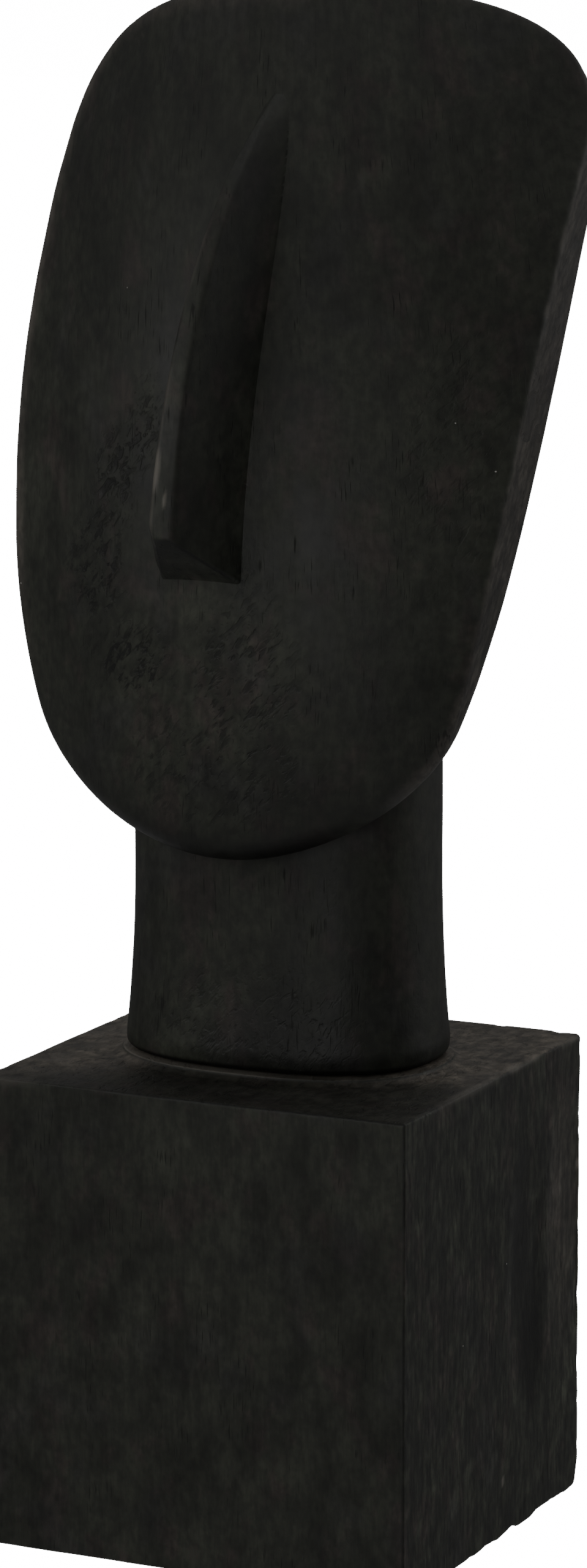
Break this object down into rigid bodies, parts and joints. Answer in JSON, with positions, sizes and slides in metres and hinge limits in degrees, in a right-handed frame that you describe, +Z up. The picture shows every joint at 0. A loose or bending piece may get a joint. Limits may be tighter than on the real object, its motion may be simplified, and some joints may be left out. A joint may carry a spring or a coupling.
{
  "type": "abstract head sculpture on a plinth",
  "caption": "Abstract carved wooden head with a leaning, bowed shield face, a long nose and an oval neck, standing on a square block plinth, stained black.",
  "frame": {"origin": "centre of the plinth's underside", "axes": "+Z up; the face looks along -Y; +X is to the right of someone who looks at the face"},
  "size_m": [0.1846, 0.1613, 0.5028],
  "materials": {
    "head_wood": "matte to satin black stain over open-grained carved wood, browner where worn",
    "plinth_wood": "matte black stain over open-grained wood, browner on the end grain of the top"
  },
  "bodies": {
    "root": {"head": "head_wood", "plinth": "plinth_wood"}
  },
  "joints": []
}
